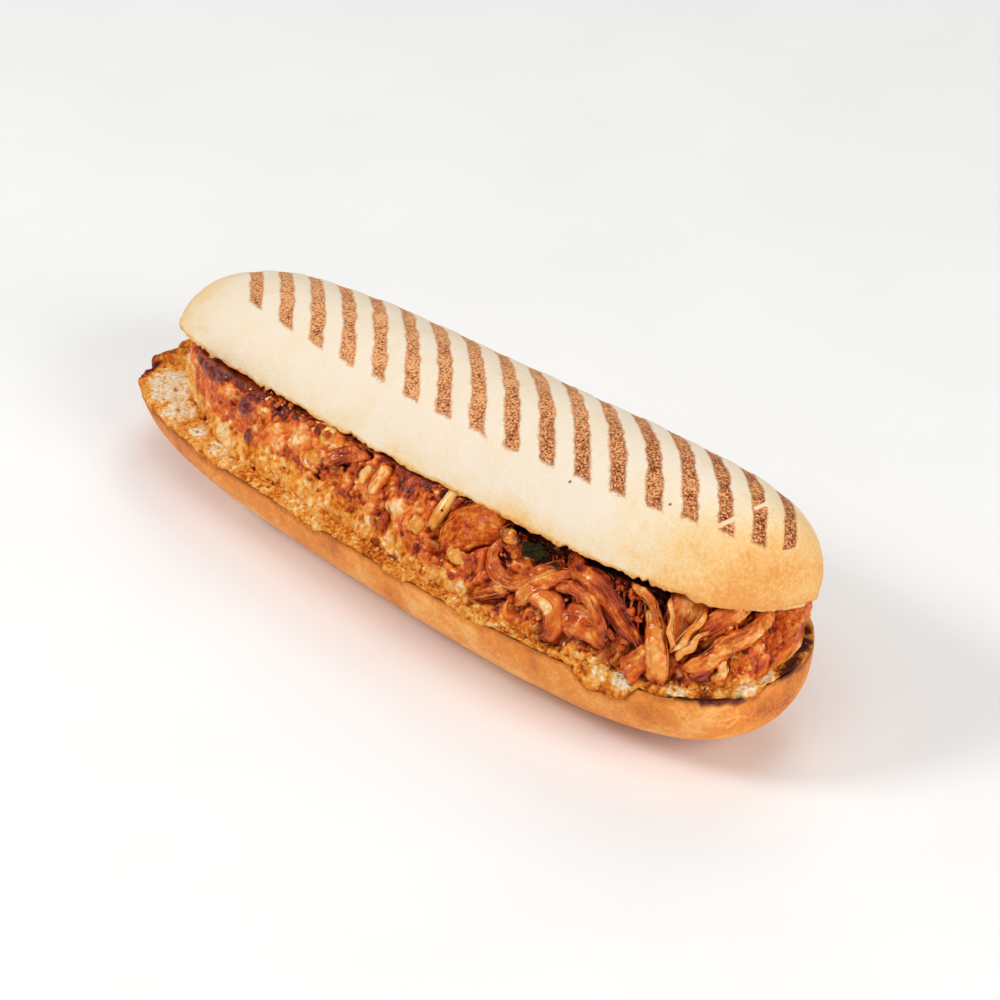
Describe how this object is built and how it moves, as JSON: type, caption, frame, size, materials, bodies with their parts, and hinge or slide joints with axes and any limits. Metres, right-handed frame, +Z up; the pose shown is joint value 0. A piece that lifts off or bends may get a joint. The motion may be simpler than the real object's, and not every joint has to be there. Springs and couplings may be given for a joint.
{
  "type": "panini",
  "caption": "Grilled long roll, cut lengthwise and filled with pulled chicken, onion and melted cheese, with the lid leaning back on the filling.",
  "frame": {"origin": "centre of the bounding box in plan, on the surface that the roll rests on", "axes": "+X along the roll towards its fuller end, -Y to the open side that shows the filling, +Z up"},
  "size_m": [0.2404, 0.0769, 0.069],
  "materials": {
    "base_crust": "golden baked crust, dull, with pale torn crumb on the cut face",
    "lid_crust": "pale floury crust, dull, golden along its lower edge, with brown grill marks",
    "sauce_and_cheese": "wet browned cheese and tomato sauce",
    "chicken": "sauce-stained shredded chicken, moist, fibrous",
    "pale_chicken": "paler shredded chicken, moist, fibrous",
    "onion": "cooked translucent onion",
    "red_onion": "cooked dark red onion",
    "herb": "cooked dark green herb leaf"
  },
  "bodies": {
    "root": {"bread_base": "base_crust", "bread_lid": "lid_crust", "filling": "sauce_and_cheese", "chicken_rope": "chicken", "chicken_stub": "pale_chicken", "chicken_slab_lower": "pale_chicken", "chicken_slab_upper": "chicken", "chicken_chunk": "chicken", "onion_stick": "onion", "chicken_curl": "chicken", "chicken_fold": "pale_chicken", "chicken_pocket": "chicken", "chicken_arch": "chicken", "chicken_strip_low": "chicken", "chicken_strip_mid": "pale_chicken", "chicken_splay": "pale_chicken", "chicken_strand_upright": "pale_chicken", "chicken_strand_pale_1": "pale_chicken", "chicken_strand_pale_2": "pale_chicken", "chicken_strand_loop": "chicken", "chicken_fan": "chicken", "chicken_hanging": "pale_chicken", "chicken_nub": "chicken", "red_onion_piece": "red_onion", "chicken_end_mass": "chicken", "chicken_end_piece": "pale_chicken", "onion_dice_1": "onion", "onion_dice_2": "onion", "onion_dice_3": "onion", "onion_dice_4": "onion", "onion_shard": "onion", "onion_sliver": "onion", "chicken_curl_left": "chicken", "chicken_flake_left": "pale_chicken", "herb_leaf": "herb"}
  },
  "joints": []
}
